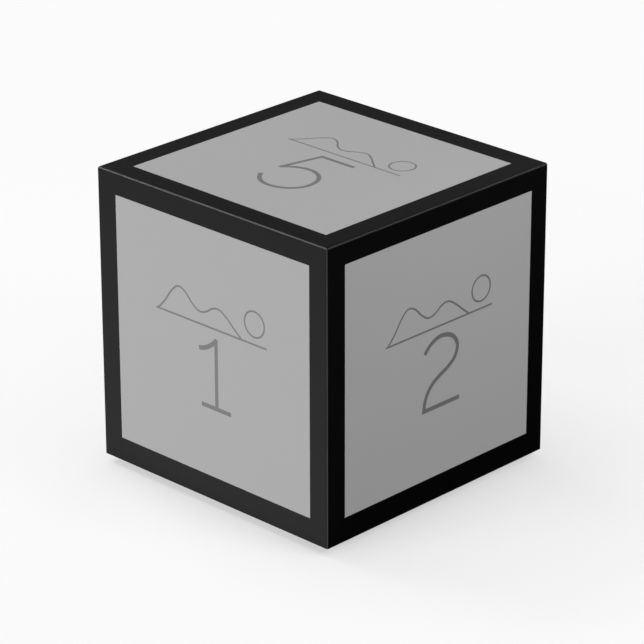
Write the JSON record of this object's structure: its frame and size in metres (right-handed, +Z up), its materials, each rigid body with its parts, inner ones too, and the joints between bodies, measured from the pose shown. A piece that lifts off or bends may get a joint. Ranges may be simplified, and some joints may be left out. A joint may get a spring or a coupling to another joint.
{
  "type": "rotating photo cube",
  "caption": "Hand-size desk cube with a black-bordered flush picture print on every side and on top, turning on a hidden round turntable base.",
  "frame": {"origin": "on the surface the cube stands on, under the centre of the cube and on the axis it turns about", "axes": "+Z up along the turning axis; -Y towards the front face (number 1), +X towards the right face (number 2), +Y towards the rear face (number 3), -X towards the left face (number 4); the top face (number 5) reads with its foot towards -Y"},
  "size_m": [0.108, 0.108, 0.11],
  "materials": {
    "print_laminate": "satin printed laminate, black border 8 to 9 mm wide round a mid-grey picture area with a thin dark grey number and line drawing",
    "fibreboard": "bare medium-density fibreboard, sanded; its lowest 8 mm coated matt black",
    "fibreboard_black": "medium-density fibreboard with a matt black coat on its underside",
    "softwood": "planed softwood glue blocks",
    "screw_zinc": "bright zinc-plated wood screws",
    "race_steel": "zinc-plated pressed steel",
    "ball_steel": "polished bearing steel",
    "cage_plastic": "natural acetal",
    "rivet_brass": "plain brass eyelet",
    "foot_plastic": "black moulded plastic, fine texture",
    "pad_rubber": "black non-slip rubber, fine matt grain"
  },
  "bodies": {
    "base": {"base_disc": "foot_plastic", "non_slip_pad": "pad_rubber", "lower_race_plate": "race_steel", "lower_plate_screws": "screw_zinc", "hub_rivet": "rivet_brass"},
    "cube": {"front_print": "print_laminate", "right_print": "print_laminate", "rear_print": "print_laminate", "left_print": "print_laminate", "top_print": "print_laminate", "front_wall": "fibreboard", "right_wall": "fibreboard", "rear_wall": "fibreboard", "left_wall": "fibreboard", "top_wall": "fibreboard", "bottom_board": "fibreboard_black", "corner_blocks": "softwood", "board_screws": "screw_zinc", "upper_race_plate": "race_steel", "upper_plate_screws": "screw_zinc"},
    "ball_ring": {"bearing_balls": "ball_steel", "ball_cage": "cage_plastic"}
  },
  "joints": [
    {"name": "cube_spin", "type": "hinge", "parent": "base", "child": "cube", "pos_m": [0, 0, 0.0077], "axis": [0, 0, 1], "continuous": true},
    {"name": "ball_ring_orbit", "type": "hinge", "parent": "base", "child": "ball_ring", "pos_m": [0, 0, 0.0077], "axis": [0, 0, 1], "continuous": true}
  ],
  "couplings": [
    {"joint": "ball_ring_orbit", "follows": "cube_spin", "ratio": 0.5}
  ]
}
